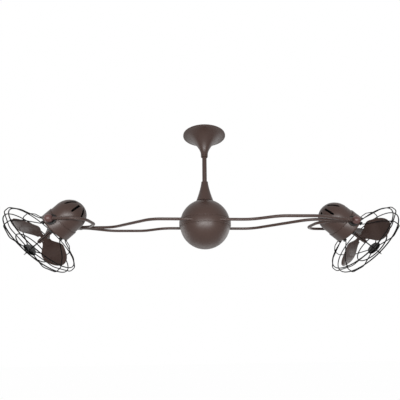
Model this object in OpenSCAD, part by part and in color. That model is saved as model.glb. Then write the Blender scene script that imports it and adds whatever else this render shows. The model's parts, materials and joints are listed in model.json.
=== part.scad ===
// Twin head ceiling fan: two caged fan heads on bent rod arms, which turn about a globe on a downrod.
// Millimetres. The origin is on the ceiling at the centre of the canopy and +Z is up, so the fan hangs
// below zero. The arms run along X. The right head is at +X, and the left one is the same turned half
// round about Z. In a head's own frame +Z is the fan's axis, from the dome to the guard's front, and the
// tilt pivot is the Y axis.

/* [Ceiling mount] */
// Radius of the canopy at the ceiling
canopy_r = 82; // [76:1:100]
// Drop from the ceiling to the bottom of the canopy's neck
canopy_drop = 86; // [74:1:110]
// Height of the canopy's upright lip
canopy_lip = 5; // [3:1:10]
// Outer radius of the canopy's neck
canopy_neck_r = 13.4; // [12:0.2:18]
// Length of the canopy's straight neck
canopy_neck_h = 6; // [3:1:12]
// How far the canopy's flare is from a circle (2) towards a straight cone (1)
canopy_flare = 1.54; // [1.3:0.02:1.9]
// Wall of the spun steel covers
cover_wall = 1.5; // [1:0.1:2.5]
// Length of the ceiling bracket
bracket_len = 120; // [110:1:140]
// Width of the ceiling bracket
bracket_w = 36; // [32:1:50]
// Thickness of the ceiling bracket
bracket_t = 3; // [2:0.5:5]
// Distance between the two ceiling screws
screw_spacing = 88.9; // [80:0.1:100]
// Width of a slot for a ceiling screw
slot_w = 5.2; // [4:0.1:7]
// Length of a slot for a ceiling screw
slot_len = 14; // [8:1:18]

/* [Downrod and globe] */
// Outer radius of the downrod
rod_r = 8.5; // [7:0.5:11]
// Bore radius of the downrod
rod_bore_r = 5.5; // [4:0.5:6]
// Depth of the globe's centre and of the arms below the ceiling
arm_drop = 355; // [340:1:500]
// Radius of the globe
globe_r = 89; // [84:1:105]
// Wall of the globe's shells
globe_wall = 2; // [1.5:0.5:3]
// How far the belt stands proud of the globe
belt_proud = 2.8; // [1.5:0.1:5]
// Height of the belt
belt_h = 20; // [16:1:30]
// Base radius of the cone cover on the globe
cone_r = 32; // [28:1:40]
// Top radius of the cone cover
cone_top_r = 12.3; // [11:0.1:16]
// Height of the cone cover
cone_h = 78; // [60:1:100]
// Radius of the spindle in its bearings
spindle_r = 7.5; // [6:0.5:8]

/* [Arms and yokes] */
// Radius of the bent arm and yoke bars
bar_r = 5; // [4:0.5:6]
// Distance of each arm from the centre line where it passes through the globe
arm_offset = 75; // [68:1:78]
// Distance from the globe's axis to the tilt pivots
pivot_x = 505; // [480:1:600]
// Radius of a pivot ball
ball_r = 14; // [12:0.5:18]
// Gap beside the bars where they run together into the arm socket
bar_gap = 0.5; // [0.3:0.1:2]
// Length of the arm socket
socket_len = 26; // [20:1:36]
// Distance from the pivots to the inner end of the yoke
yoke_reach = 113; // [108:1:130]

// How far the outer arm bows out past its place at the globe
bow_reach = 54; // [46:1:60]
// Distance from the pivots to the end of the bow
bow_end = 147; // [140:1:170]
// Length of the inner arm's run from the crossing to the pivots
cross_run = 160; // [140:1:180]

/* [Heads] */
// Downward tilt of the right head at rest
right_tilt = 40; // [0:0.5:80]
// Downward tilt of the left head at rest
left_tilt = 44; // [0:0.5:80]
// Turn of the right yoke and head about the vertical, in the right side's frame
right_swing = 2.5; // [-15:0.5:15]
// Turn of the left yoke and head about the vertical, in the left side's frame
left_swing = -5.5; // [-15:0.5:15]
// Outer radius of the motor's front collar
collar_r = 58.5; // [57:0.5:58.5]
// How far the collar reaches behind the pivots
collar_back = 13; // [10:1:20]
// How far the collar reaches in front of the pivots
collar_front = 25; // [22:1:32]
// Radius of the motor's rear dome
dome_r = 56; // [55:0.5:56.5]
// How far behind the pivots the dome's rounding starts
dome_start = 40; // [34:1:44]
// Wall of the motor housing
housing_wall = 2; // [1.5:0.5:3]
// Radius of the collar's rounded front edge
collar_round = 6; // [3:0.5:7]
// Number of cooling slots in the dome
dome_slots = 8; // [4:1:10]
// Distance of a slot's inner end from the axis
slot_near = 24; // [20:1:30]
// Distance of a slot's outer end from the axis
slot_far = 48; // [40:1:49]
// Width of a slot
slot_wide = 7.5; // [4:0.5:9]
// Radius of the pivot studs
stud_r = 4; // [3:0.5:5]

/* [Guard] */
// Number of wire loops in a guard
guard_loops = 8; // [6:1:12]
// Radius of the loop wire
wire_r = 1.6; // [1.2:0.1:2]
// Radius of the ring wire
ring_wire_r = 1.8; // [1.2:0.1:2.2]
// Radius of the two rim rings
rim_r = 138; // [132:1:150]
// Radius of the inner front ring
inner_ring_r = 66; // [55:1:80]
// How far a loop's tip stands out past the rim rings
loop_reach = 9.5; // [8:0.5:14]
// Distance from the pivots to the guard's widest part
guard_rim = 85; // [80:1:92]
// Height of a loop's outer end along the axis
tip_height = 20; // [14:1:24]
// Distance from the pivots to the knee in a loop's back run
guard_knee = 54; // [51:1:57]
// Distance from the pivots to the front of the guard
guard_front = 129; // [125:1:140]
// Radius of the bare disc at the front of the guard
disc_r = 25; // [20:1:35]
// Turn of the right guard about its axis
right_guard_turn = 30; // [0:1:45]
// Turn of the left guard about its axis
left_guard_turn = 16; // [0:1:45]

/* [Fan] */
// Radius to the blade tips
blade_tip_r = 122; // [110:1:124]
// Widest half width of a blade
blade_half_w = 38; // [30:1:40]
// Pitch of a blade at its root
root_pitch = 52; // [40:1:56]
// Pitch of a blade at its tip
tip_pitch = 45; // [30:1:52]
// Distance from the pivots to the middle of the blades
blade_mid = 77; // [75:1:81]
// Thickness of a blade
blade_t = 1.6; // [1:0.1:3]
// Number of blades on a fan
blades = 3; // [3:1:3]
// Turn of the right fan about its axis at rest
right_fan_turn = 9; // [0:1:120]
// Turn of the left fan about its axis at rest
left_fan_turn = 2; // [0:1:120]
// Radius of the motor shaft
shaft_r = 4; // [3:0.5:5]
// Radius of the shaft's thin end, which runs to the guard's disc
shaft_end_r = 2.2; // [1.5:0.1:3]
// Radius of the blade hub
hub_r = 7.5; // [7:0.5:12]

/* [Hidden] */
$fn = 64;
eps = 0.01;       // overshoot of a cut past the face that it opens
seat = 0.3;       // gap between a piece and what carries it
running = 0.05;   // radial clearance of a turning fit
fixed = 0.02;     // radial clearance of a fit that is pressed on the real object
bend_step = 12;   // largest angle between two stations in a bend
bar_sides = 16;
wire_sides = 8;
bronze = [0.30, 0.26, 0.24];
dark = [0.16, 0.13, 0.12];
steel = [0.62, 0.62, 0.64];
black = [0.06, 0.06, 0.06];
copper = [0.72, 0.42, 0.25];
ivory = [0.86, 0.82, 0.72];

// Half round about Z for the left side
function side_turn(side) = side > 0 ? 0 : 180;
function side_tilt(side) = side > 0 ? right_tilt : left_tilt;
function side_swing(side) = side > 0 ? right_swing : left_swing;
function unit(v) = v / norm(v);

// Puts children that are drawn in a head's own frame onto the right (1) or left (-1) pivots
module at_head(side) {
    rotate([0, 0, side_turn(side)])
        translate([pivot_x, 0, -arm_drop])
            rotate([0, 0, side_swing(side)]) rotate([0, 90 + side_tilt(side), 0])
                children();
}

// Puts children that are drawn along the arms, at arm level, onto a side's own swung line
module at_yoke(side) {
    rotate([0, 0, side_turn(side)])
        translate([pivot_x, 0, -arm_drop])
            rotate([0, 0, side_swing(side)]) translate([-pivot_x, 0, 0])
                children();
}
function swung(p, side) =
    let (a = side_swing(side), x = p.x - pivot_x)
    [pivot_x + x * cos(a) - p.y * sin(a), x * sin(a) + p.y * cos(a)];

// A ring of rectangular section between two heights
module ring(outer, inner, low, high) {
    difference() {
        translate([0, 0, low]) cylinder(r = outer, h = high - low);
        translate([0, 0, low - eps]) cylinder(r = inner, h = high - low + 2 * eps);
    }
}

// A round bar bent in the XY plane: straight runs between the points p, and a bend of radius
// bend[i] at each inner point. A station is a place along the bar and the bar's heading there.
function bar_dir(p, i) = unit(p[i + 1] - p[i]);
function bar_turn(p, i) =
    let (u = bar_dir(p, i - 1), v = bar_dir(p, i))
    atan2(u.x * v.y - u.y * v.x, u * v);
function bend_stations(p, bend, i) =
    let (u = bar_dir(p, i - 1), turn = bar_turn(p, i), way = sign(turn), r = bend[i],
         centre = p[i] - u * r * tan(abs(turn) / 2) + way * r * [-u.y, u.x],
         steps = ceil(abs(turn) / bend_step))
    [for (k = [0 : steps])
        let (a = atan2(u.y, u.x) + turn * k / steps)
        [centre + way * r * [sin(a), -cos(a)], a]];
function stations(p, bend) =
    let (first = bar_dir(p, 0), last = bar_dir(p, len(p) - 2))
    concat([[p[0], atan2(first.y, first.x)]],
           [for (i = [1 : len(p) - 2]) each bend_stations(p, bend, i)],
           [[p[len(p) - 1], atan2(last.y, last.x)]]);
module bent_bar(p, bend, r, sides) {
    along = stations(p, bend);
    last = len(along) - 1;
    points = [for (s = along, m = [0 : sides - 1])
        let (c = s[0], a = s[1], t = (m + 0.5) * 360 / sides)
        [c.x - r * cos(t) * sin(a), c.y + r * cos(t) * cos(a), r * sin(t)]];
    skin = [for (k = [0 : last - 1], m = [0 : sides - 1], half = [0, 1])
        let (n = (m + 1) % sides, near = k * sides, far = near + sides)
        half == 0 ? [near + m, far + m, far + n] : [near + m, far + n, near + n]];
    caps = [[for (m = [0 : sides - 1]) m], [for (m = [sides - 1 : -1 : 0]) last * sides + m]];
    polyhedron(points = points, faces = concat(skin, caps));
}

// ---------------------------------------------------------------- ceiling mount and downrod
hanger_r = 15;
hanger_h = 27;
pin_r = 3;
pin_z = -bracket_t - hanger_h * 0.55;
wire_hole_x = (screw_spacing - slot_len) / 4 + hanger_r / 2;
collar_ring_h = 7;
cone_top_z = -arm_drop + globe_r - 7 + cone_h;
cone_base_z = -arm_drop + sqrt(pow(globe_r, 2) - pow(cone_r - cover_wall, 2)) + 2 * seat;
rod_end_z = cone_base_z + 20;

module ceiling_bracket() {
    color(steel)
        difference() {
            translate([-bracket_len / 2, -bracket_w / 2, -bracket_t])
                cube([bracket_len, bracket_w, bracket_t]);
            for (side = [-1, 1]) translate([side * screw_spacing / 2, 0, -bracket_t - eps]) {
                translate([-(slot_len - slot_w) / 2, -slot_w / 2, 0])
                    cube([slot_len - slot_w, slot_w, bracket_t + 2 * eps]);
                for (end = [-1, 1]) translate([end * (slot_len - slot_w) / 2, 0, 0])
                    cylinder(d = slot_w, h = bracket_t + 2 * eps);
            }
            translate([wire_hole_x, 0, -bracket_t - eps])
                cylinder(r = 5, h = bracket_t + 2 * eps);
        }
}

module hanger_block() {
    color(steel)
        difference() {
            translate([0, 0, -bracket_t - hanger_h]) cylinder(r = hanger_r, h = hanger_h);
            translate([0, 0, -bracket_t - hanger_h - eps])
                cylinder(r = rod_r + fixed, h = hanger_h - bracket_t + eps);
            translate([0, hanger_r + eps, pin_z]) rotate([90, 0, 0])
                cylinder(r = pin_r + fixed, h = 2 * hanger_r + 2 * eps);
        }
}

module hanger_pin() {
    color(steel)
        translate([0, hanger_r + 2, pin_z]) rotate([90, 0, 0]) cylinder(r = pin_r, h = 2 * hanger_r + 4);
}

module terminal_block() {
    block = [16, 24, 12];
    color(ivory)
        difference() {
            translate([-wire_hole_x - block.x / 2, -block.y / 2, -bracket_t - block.z]) cube(block);
            for (i = [-1 : 1]) translate([-wire_hole_x, i * 7, -bracket_t - block.z - eps])
                cylinder(r = 1.8, h = 6);
        }
}

// The trumpet's outline: radius and height for a share s, from 0 at the neck to 1 at the lip
function flare(s, neck, rim, bottom, top) =
    [rim - (rim - neck) * pow(cos(90 * s), 2 / canopy_flare),
     bottom + (top - bottom) * pow(sin(90 * s), 2 / canopy_flare)];
flare_steps = 24;

module canopy() {
    outer = [for (i = [0 : flare_steps])
        flare(i / flare_steps, canopy_neck_r, canopy_r, canopy_neck_h - canopy_drop, -canopy_lip)];
    inner = [for (i = [flare_steps : -1 : 0])
        flare(i / flare_steps, rod_r + running * 4, canopy_r - cover_wall,
              canopy_neck_h - canopy_drop, -canopy_lip + cover_wall)];
    color(bronze)
        rotate_extrude()
            polygon(concat([[canopy_neck_r, -canopy_drop]], outer, [[canopy_r, 0], [canopy_r - cover_wall, 0]],
                           inner, [[rod_r + running * 4, -canopy_drop]]));
}

module canopy_collar() {
    color(bronze)
        difference() {
            translate([0, 0, -canopy_drop - collar_ring_h])
                cylinder(r = canopy_neck_r - 0.4, h = collar_ring_h);
            translate([0, 0, -canopy_drop - collar_ring_h - eps])
                cylinder(r = rod_r + fixed, h = collar_ring_h + 2 * eps);
            translate([0, 0, -canopy_drop - collar_ring_h / 2]) rotate([0, 90, 0])
                cylinder(r = 1.5, h = canopy_neck_r + eps);
        }
}

module downrod() {
    color(bronze)
        difference() {
            translate([0, 0, rod_end_z]) cylinder(r = rod_r, h = -2 * bracket_t - rod_end_z);
            translate([0, 0, rod_end_z - eps])
                cylinder(r = rod_bore_r, h = -2 * bracket_t - rod_end_z + 2 * eps);
            translate([0, rod_r + eps, pin_z]) rotate([90, 0, 0])
                cylinder(r = pin_r + fixed, h = 2 * rod_r + 2 * eps);
        }
}

// The cone cover's outline widens downwards a little faster than a straight cone
cone_steps = 16;
function cone_point(s, top_r, base_r) =
    [top_r + (base_r - top_r) * pow(s, 1.4), cone_top_z + (cone_base_z - cone_top_z) * s];

module cone_cover() {
    outer = [for (i = [0 : cone_steps]) cone_point(i / cone_steps, cone_top_r, cone_r)];
    inner = [for (i = [cone_steps : -1 : 0])
        cone_point(i / cone_steps, rod_r + running * 4, cone_r - cover_wall)];
    color(bronze) rotate_extrude() polygon(concat(outer, inner));
}

// ---------------------------------------------------------------- spindle, bearings and arm hub
bearing_r = 16;
bearing_h = 9;
hub_boss_r = 22;
hub_boss_h = 40;
hub_bar = [40, 18];
hub_reach = globe_r - globe_wall - seat;
shoulder_r = spindle_r + 2.5;
flange_r = rod_r + 5;
flange_h = 5;
nut_r = 12;
nut_h = 9;
slip_r = 13;
slip_h = 20;
slip_z = -arm_drop + hub_boss_h / 2 + 2;

module spindle() {
    top = rod_end_z;
    low = -arm_drop - hub_boss_h / 2;
    color(steel) {
        translate([0, 0, top]) cylinder(r = rod_bore_r - fixed, h = 22);
        translate([0, 0, top - flange_h]) cylinder(r = flange_r, h = flange_h);
        translate([0, 0, -arm_drop + hub_boss_h / 2 + seat])
            cylinder(r = shoulder_r, h = top - flange_h + arm_drop - hub_boss_h / 2 - seat);
        translate([0, 0, low - seat - nut_h - 3])
            cylinder(r = spindle_r, h = hub_boss_h + nut_h + 3 + 2 * seat);
    }
}

module spindle_nut() {
    top = -arm_drop - hub_boss_h / 2 - seat;
    color(steel)
        difference() {
            translate([0, 0, top - nut_h]) cylinder(r = nut_r, h = nut_h, $fn = 6);
            translate([0, 0, top - nut_h - eps]) cylinder(r = spindle_r + fixed, h = nut_h + 2 * eps);
        }
}

// An insulating drum with three grooved contact tracks
module slip_ring() {
    color(copper)
        difference() {
            translate([0, 0, slip_z]) cylinder(r = slip_r, h = slip_h);
            translate([0, 0, slip_z - eps]) cylinder(r = shoulder_r + fixed, h = slip_h + 2 * eps);
            for (i = [0 : 2]) ring(slip_r + 1, slip_r - 1, slip_z + 3 + i * 5.5, slip_z + 6 + i * 5.5);
        }
}

module brush_block() {
    color(dark)
        difference() {
            translate([slip_r + seat, -6, -arm_drop + hub_boss_h / 2])
                cube([hub_boss_r - slip_r - seat, 12, slip_h + 2]);
            for (i = [0 : 2]) translate([slip_r, 0, slip_z + 4.5 + i * 5.5]) rotate([0, 90, 0])
                cylinder(r = 1, h = 5);
        }
}

module hub_bearings() {
    inner = spindle_r + running;
    color(steel) {
        ring(bearing_r - fixed, inner, -arm_drop + hub_boss_h / 2 - bearing_h, -arm_drop + hub_boss_h / 2);
        ring(bearing_r - fixed, inner, -arm_drop - hub_boss_h / 2, -arm_drop - hub_boss_h / 2 + bearing_h);
    }
}

module arm_hub() {
    color(steel)
        difference() {
            union() {
                translate([0, 0, -arm_drop - hub_boss_h / 2]) cylinder(r = hub_boss_r, h = hub_boss_h);
                intersection() {
                    translate([-hub_bar.x / 2, -hub_reach, -arm_drop - hub_bar.y / 2])
                        cube([hub_bar.x, 2 * hub_reach, hub_bar.y]);
                    translate([0, 0, -arm_drop - hub_bar.y]) cylinder(r = hub_reach, h = 2 * hub_bar.y);
                }
            }
            translate([0, 0, -arm_drop - hub_boss_h]) cylinder(r = spindle_r + 2, h = 2 * hub_boss_h);
            for (side = [-1, 1]) {
                translate([0, 0, -arm_drop + side * hub_boss_h / 2 - (side > 0 ? bearing_h : eps)])
                    cylinder(r = bearing_r, h = bearing_h + eps);
                translate([-hub_bar.x, side * arm_offset, -arm_drop]) rotate([0, 90, 0])
                    cylinder(r = bar_r + fixed, h = 2 * hub_bar.x);
            }
        }
}

// ---------------------------------------------------------------- globe
module globe_shell(side) {
    opening_r = cone_r - 8;
    color(bronze)
        difference() {
            sphere(r = globe_r);
            sphere(r = globe_r - globe_wall);
            translate([-globe_r - 1, -globe_r - 1, side > 0 ? -globe_r - 1 : -belt_h / 2])
                cube([2 * globe_r + 2, 2 * globe_r + 2, globe_r + 1 + belt_h / 2]);
            if (side > 0) cylinder(r = opening_r, h = globe_r + 1);
        }
}

module globe_top() { translate([0, 0, -arm_drop]) globe_shell(1); }
module globe_bottom() { translate([0, 0, -arm_drop]) globe_shell(-1); }

module globe_belt() {
    outer = globe_r + belt_proud;
    inner = globe_r - globe_wall;
    edge = 1.2;
    half = belt_h / 2;
    color(bronze)
        translate([0, 0, -arm_drop])
            difference() {
                rotate_extrude()
                    polygon([[inner, -half], [outer - edge, -half], [outer, edge - half],
                             [outer, half - edge], [outer - edge, half], [inner, half]]);
                for (side = [-1, 1]) translate([-outer, side * arm_offset, 0]) rotate([0, 90, 0])
                    cylinder(r = bar_r + seat, h = 2 * outer);
            }
}

// ---------------------------------------------------------------- arms, yokes and pivots
// Lanes side by side at the arm socket: 0 is the yoke's end, 1 the inner arm, 2 the outer arm.
// The pivot balls lie on lane 1.
lane_pitch = 2 * bar_r + bar_gap;
lane_0 = collar_r + bar_r + 1.5;
function lane(n) = lane_0 + n * lane_pitch;
ball_y = lane(1);
ball_flat = ball_r - 2;
socket_out = pivot_x - ball_flat;
socket_in = socket_out - socket_len;
outer_bow = arm_offset + bow_reach;

// An arm runs from the inner lane of one side's socket, across to the far side of the line, past the
// globe and out in a bow round the other side's yoke, in to its outer lane. It is drawn with the bow
// at +X: bow and cross name the sides that its two ends go to.
function arm_points(bow, cross) = [
    -swung([socket_in, -lane(1)], cross), -swung([pivot_x - cross_run, -lane(1)], cross),
    [-arm_offset - 107, -arm_offset], [2 * arm_offset, -arm_offset],
    [2 * arm_offset + 82, 3 - outer_bow], [pivot_x - bow_end, -outer_bow],
    swung([socket_in - 20, -lane(2)], bow), swung([socket_in, -lane(2)], bow)];
arm_bends = [0, 90, 90, 110, 90, 90, 40, 0];

module arm(bow, cross) {
    color(bronze) rotate([0, 0, side_turn(bow)]) translate([0, 0, -arm_drop])
        bent_bar(arm_points(bow, cross), arm_bends, bar_r, bar_sides);
}
module front_arm() { arm(1, -1); }
module back_arm() { arm(-1, 1); }

yoke_in = pivot_x - yoke_reach;
yoke_points = [[socket_in, -lane(0)], [yoke_in + 38, -lane(0)], [yoke_in, -20],
               [yoke_in, ball_y], [socket_out, ball_y]];
yoke_bends = [0, 35, 40, 45, 0];

module yoke(side) {
    color(bronze) at_yoke(side) bent_bar(yoke_points, yoke_bends, bar_r, bar_sides);
}
module right_yoke() { yoke(1); }
module left_yoke() { yoke(-1); }

module arm_sockets() {
    margin = bar_r + 0.3;
    nose = ball_r / 2;
    color(bronze)
        for (side = [1, -1]) at_yoke(side)
            translate([0, 0, -bar_r - 1])
                linear_extrude(height = 2 * bar_r + 2)
                    polygon([[socket_in, -lane(0) + margin], [socket_in, -lane(2) - margin],
                             [socket_in + 6, -lane(2) - margin], [socket_out, -lane(1) - nose],
                             [socket_out, -lane(1) + nose], [socket_in + 6, -lane(0) + margin]]);
}

module pivot_balls() {
    color(copper)
        for (side = [1, -1], way = [1, -1]) at_yoke(side)
            translate([pivot_x, way * ball_y, 0])
                difference() {
                    sphere(r = ball_r);
                    translate([-2 * ball_r - ball_flat, -ball_r, -ball_r]) cube(2 * ball_r);
                    rotate([way * 90, 0, 0]) translate([0, 0, -ball_r / 2 - 2])
                        cylinder(r = stud_r + running, h = 2 * ball_r);
                }
}

// ---------------------------------------------------------------- motor, in the head's own frame
housing_in = dome_r - housing_wall;
dome_front = -collar_back + 8;
core_r = housing_in - seat;
core_back = -18;
core_front = 10;
bearing_608 = [4, 11, 7];
plate_z = 19;
plate_h = 3;
boss_r = 13.5;
rear_bearing_z = -38;
front_bearing_z = 15.2;
air_gap = 0.5;
rotor_r = 26.5;

// Guard outline in a plane through the axis: radius, then distance along the axis
socket_r = (collar_r + housing_in) / 2;
tip_r = rim_r + loop_reach;
loop_points = [[socket_r, collar_front - 7], [socket_r, collar_front + 8], [tip_r - 3 * loop_reach, guard_knee],
               [tip_r, guard_rim - tip_height / 2], [tip_r, guard_rim + tip_height / 2],
               [rim_r * 0.7, guard_front - 8], [disc_r - 5, guard_front]];
loop_bends = [0, 6, 40, 11, 11, 60, 0];
// Place of a ring that touches a straight run of the loops from inside, at a given radius
function on_run(i, r, inward) =
    let (a = loop_points[i], u = bar_dir(loop_points, i), gap = wire_r + ring_wire_r + fixed)
    a + u * ((r - a.x) / u.x) + inward * gap * [-u.y, u.x];

module collar() {
    color(bronze)
        difference() {
            rotate_extrude() polygon(concat(
                [[housing_in, -collar_back], [collar_r, -collar_back]],
                [for (a = [0 : 15 : 60]) [collar_r - collar_round * (1 - cos(a)),
                                          collar_front - collar_round * (sin(60) - sin(a))]],
                [[housing_in, collar_front]]));
            translate([0, 0, -collar_back - eps])
                cylinder(r = dome_r + fixed, h = dome_front + collar_back + 2 * eps);
            translate([0, collar_r + 1, 0]) rotate([90, 0, 0])
                cylinder(r = stud_r + fixed, h = 2 * collar_r + 2);
        }
}

module guard_sockets(turn) {
    for (i = [0 : guard_loops - 1]) rotate([0, 0, turn + i * 360 / guard_loops])
        translate([socket_r, 0, collar_front - 7]) cylinder(r = wire_r + fixed, h = 7 + eps);
}

module dome() {
    color(bronze)
        difference() {
            union() {
                difference() {
                    union() {
                        translate([0, 0, -dome_start]) sphere(r = dome_r);
                        translate([0, 0, -dome_start]) cylinder(r = dome_r, h = dome_start + dome_front);
                    }
                    translate([0, 0, -dome_start]) sphere(r = housing_in);
                    translate([0, 0, -dome_start])
                        cylinder(r = housing_in, h = dome_start + dome_front + dome_r + eps);
                }
                intersection() {
                    translate([0, 0, -dome_start]) sphere(r = dome_r - housing_wall / 2);
                    translate([0, 0, -dome_start - dome_r])
                        cylinder(r = boss_r, h = dome_start + dome_r + rear_bearing_z + bearing_608.z);
                }
            }
            translate([0, 0, rear_bearing_z]) cylinder(r = bearing_608.y, h = bearing_608.z + eps);
            translate([0, 0, rear_bearing_z - 6]) cylinder(r = shaft_r + 1, h = 8);
            for (i = [0 : dome_slots - 1]) rotate([0, 0, (i + 0.5) * 360 / dome_slots])
                translate([0, 0, -dome_start - dome_r - eps]) linear_extrude(height = dome_r) {
                    translate([slot_near, -slot_wide / 2]) square([slot_far - slot_near, slot_wide]);
                    for (x = [slot_near, slot_far]) translate([x, 0]) circle(d = slot_wide);
                }
        }
}

module front_plate() {
    color(dark)
        difference() {
            union() {
                translate([0, 0, plate_z]) cylinder(r = core_r, h = plate_h);
                translate([0, 0, front_bearing_z]) cylinder(r = boss_r, h = 9);
            }
            translate([0, 0, front_bearing_z - eps]) cylinder(r = bearing_608.y, h = bearing_608.z + eps);
            translate([0, 0, front_bearing_z]) cylinder(r = shaft_r + 1, h = 10);
            for (i = [0 : 5]) rotate([0, 0, i * 60]) translate([35, 0, plate_z - eps])
                cylinder(r = 8, h = plate_h + 2 * eps);
        }
}

module stator() {
    slots = 12;
    slot_r = 3.5;
    color(steel)
        difference() {
            ring(core_r, rotor_r + air_gap, core_back, core_front);
            for (i = [0 : slots - 1]) rotate([0, 0, i * 360 / slots])
                translate([rotor_r + 7, 0, core_back - eps])
                    cylinder(r = slot_r, h = core_front - core_back + 2 * eps);
        }
}

module windings() {
    color(copper) {
        ring(core_r - 8, rotor_r + 3, core_back - 9, core_back);
        ring(core_r - 8, rotor_r + 3, core_front, core_front + 7);
    }
}

module motor_bearings() {
    for (z = [rear_bearing_z, front_bearing_z])
        color(steel) ring(bearing_608.y - fixed, bearing_608.x + running, z, z + bearing_608.z);
}

module pivot_studs() {
    color(steel)
        for (way = [1, -1]) rotate([way * -90, 0, 0]) {
            translate([0, 0, housing_in + seat]) cylinder(r = stud_r, h = ball_y + 8 - housing_in - seat);
            translate([0, 0, collar_r + running])
                cylinder(r = 2 * stud_r, h = ball_y - ball_r - seat - collar_r - running);
        }
}

// ---------------------------------------------------------------- guard, in the head's own frame
module loops(turn) {
    color(dark)
        for (i = [0 : guard_loops - 1]) rotate([0, 0, turn + i * 360 / guard_loops])
            rotate([90, 0, 0]) bent_bar(loop_points, loop_bends, wire_r, wire_sides);
}

module ring_wire(at) {
    translate([0, 0, at.y]) rotate_extrude() translate([at.x, 0]) circle(r = ring_wire_r);
}

module rings() {
    color(dark) {
        ring_wire(on_run(2, tip_r - 6.5, 1));
        ring_wire(on_run(4, rim_r, 1));
        ring_wire(on_run(5, inner_ring_r, 1));
    }
}

disc_back = guard_front - wire_r - 0.4 - 3;
module disc() {
    back = disc_back + 3;
    face = guard_front + wire_r + running;
    color(black) {
        translate([0, 0, disc_back]) cylinder(r = disc_r - 3.5, h = 3);
        translate([0, 0, back]) cylinder(r = disc_r / 3, h = face - back);
        translate([0, 0, face]) cylinder(r = disc_r, h = 2.5);
    }
}

// Keepers on the collar's front face, one round each loop's end
module clips(turn) {
    size = [6, 8, 3.6];
    color(black)
        for (i = [0 : guard_loops - 1]) rotate([0, 0, turn + i * 360 / guard_loops])
            difference() {
                translate([collar_r - size.x - 0.5, -size.y / 2, collar_front]) cube(size);
                translate([socket_r, 0, collar_front - 1]) cylinder(r = wire_r + fixed, h = size.z + 2);
            }
}

// ---------------------------------------------------------------- fan, in the head's own frame
hub_back = 28;
hub_lead = 10;
hub_front = blade_mid + hub_lead;
hub_nut_h = 6;
root_r = hub_r + 5;
flat_r = 42;
rows = 14;
cols = 8;
camber = 3;
root_half_w = 13;
root_back = 5;

// Half width, pitch and middle of the blade at a radius
function ease(s) = s <= 0 ? 0 : s >= 1 ? 1 : s * s * (3 - 2 * s);
function half_w(r) =
    let (full_r = blade_tip_r * 0.5, grown = root_half_w + (blade_half_w - root_half_w) * ease((r - root_r) / (full_r - root_r)))
    r < full_r ? grown : blade_half_w * sqrt(1 - pow((r - full_r) / (blade_tip_r - full_r), 2) * 0.98);
function pitch(r) = root_pitch + (tip_pitch - root_pitch) * ease((r - flat_r) / (blade_tip_r - flat_r));
function mid_z(r) = blade_mid - root_back * (1 - ease((r - flat_r) / (blade_tip_r * 0.7 - flat_r)));
function bow(r) = camber * ease((r - flat_r) / flat_r);
function row_r(i) = root_r + (blade_tip_r - root_r) * sin(90 * i / rows);
// A point of the blade: row i outwards, column j across, on the back (0) or front (1) face
function blade_point(i, j, face) =
    let (r = row_r(i), v = 2 * j / cols - 1, w = half_w(r), p = pitch(r),
         across = v * w, up = bow(r) * (1 - v * v) + (face - 0.5) * blade_t)
    [r, across * cos(p) - up * sin(p), mid_z(r) + across * sin(p) + up * cos(p)];
function cell(i, j) = i * (cols + 1) + j;

module blade(turn, n) {
    count = (rows + 1) * (cols + 1);
    points = [for (face = [0, 1], i = [0 : rows], j = [0 : cols]) blade_point(i, j, face)];
    back = [for (i = [0 : rows - 1], j = [0 : cols - 1], t = [0, 1])
        let (a = cell(i, j), b = cell(i + 1, j), c = cell(i + 1, j + 1), d = cell(i, j + 1))
        t == 0 ? [a, b, c] : [a, c, d]];
    front = [for (f = back) [f[0] + count, f[2] + count, f[1] + count]];
    sides = [for (i = [0 : rows - 1], j = [0, cols], t = [0, 1])
        let (a = cell(i, j), b = cell(i + 1, j), e = a + count, f = b + count)
        (j == 0) ? (t == 0 ? [a, e, f] : [a, f, b]) : (t == 0 ? [a, f, e] : [a, b, f])];
    ends = [for (i = [0, rows], j = [0 : cols - 1], t = [0, 1])
        let (a = cell(i, j), b = cell(i, j + 1), e = a + count, f = b + count)
        (i == 0) ? (t == 0 ? [a, f, e] : [a, b, f]) : (t == 0 ? [a, e, f] : [a, f, b])];
    color(dark)
        rotate([0, 0, turn + n * 360 / blades])
            polyhedron(points = points, faces = concat(back, front, sides, ends));
}

module motor_shaft() {
    shoulder = hub_front + hub_nut_h - 2;
    color(steel) {
        translate([0, 0, rear_bearing_z - 2]) cylinder(r = shaft_r, h = shoulder + 4 - rear_bearing_z);
        translate([0, 0, shoulder + 1]) cylinder(r = shaft_end_r, h = disc_back - seat - shoulder - 1);
    }
}

module rotor_core() {
    color(steel) ring(rotor_r, shaft_r + fixed, core_back, core_front);
}

// Hub with a flat arm behind each blade's root
module blade_hub(turn) {
    arm = [flat_r - 10, 15, 2.4];
    color(dark)
        difference() {
            union() {
                translate([0, 0, hub_back]) cylinder(r = hub_r, h = hub_front - hub_back);
                for (n = [0 : blades - 1]) rotate([0, 0, turn + n * 360 / blades])
                    translate([6, 0, mid_z(root_r)]) rotate([root_pitch, 0, 0])
                        translate([0, -arm.y / 2, -arm.z - blade_t / 2 - running]) cube(arm);
            }
            translate([0, 0, hub_back - eps]) cylinder(r = shaft_r + fixed, h = hub_front - hub_back + 20);
        }
}

module hub_nut() {
    color(steel)
        difference() {
            translate([0, 0, hub_front + running]) cylinder(r = 7.5, h = hub_nut_h, $fn = 6);
            translate([0, 0, hub_front]) cylinder(r = shaft_r + fixed, h = hub_nut_h + 1);
        }
}

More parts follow.
